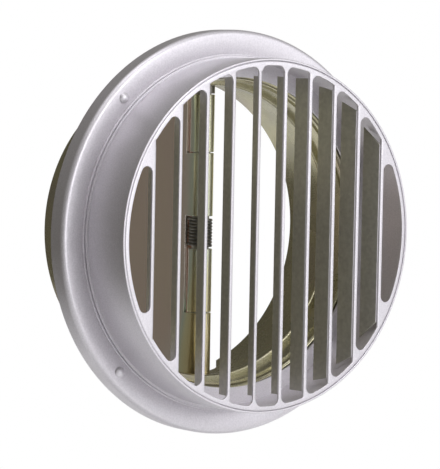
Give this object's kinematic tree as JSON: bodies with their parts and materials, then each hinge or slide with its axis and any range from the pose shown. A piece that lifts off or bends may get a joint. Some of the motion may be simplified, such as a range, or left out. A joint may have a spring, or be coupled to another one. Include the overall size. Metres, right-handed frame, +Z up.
{
  "type": "vent cap",
  "caption": "Round louvred wall vent cap on a ridged flange, with a duct sleeve behind it that holds a folding spring driven fire damper kept open by a fusible link.",
  "frame": {"origin": "on the vent axis at the wall plane, where the rear edge of the flange skirt lies", "axes": "+Y along the vent axis into the wall, the louvre face looks towards -Y, +Z up along the damper hinge, +X to the right of someone facing the louvres"},
  "size_m": [0.1924, 0.1274, 0.1924],
  "materials": {
    "silver_sheet": "satin silver",
    "rivet_metal": "plain",
    "zinc_sleeve": "yellow zinc plated",
    "zinc_blade": "yellow zinc plated",
    "pin_steel": "zinc plated",
    "spring_steel": "dark spring wire",
    "link_brass": "plain"
  },
  "bodies": {
    "housing": {"base_flange": "silver_sheet", "hood_barrel": "silver_sheet", "louver_face": "silver_sheet", "flange_rivets": "rivet_metal", "damper_sleeve": "zinc_sleeve", "stop_ring": "zinc_sleeve", "hinge_pin": "pin_steel", "pin_spacers": "pin_steel", "torsion_spring": "spring_steel"},
    "left_leaf": {"blade_left": "zinc_blade", "fuse_left": "link_brass"},
    "right_leaf": {"blade_right": "zinc_blade", "fuse_right": "link_brass"}
  },
  "joints": [
    {"name": "left_leaf_hinge", "type": "hinge", "parent": "housing", "child": "left_leaf", "pos_m": [0, 0.0165, 0], "axis": [0, 0, 1], "range_deg": [0, 90], "deforming": ["torsion_spring"]},
    {"name": "right_leaf_hinge", "type": "hinge", "parent": "housing", "child": "right_leaf", "pos_m": [0, 0.0165, 0], "axis": [0, 0, 1], "range_deg": [-90, 0], "deforming": ["torsion_spring"]}
  ]
}
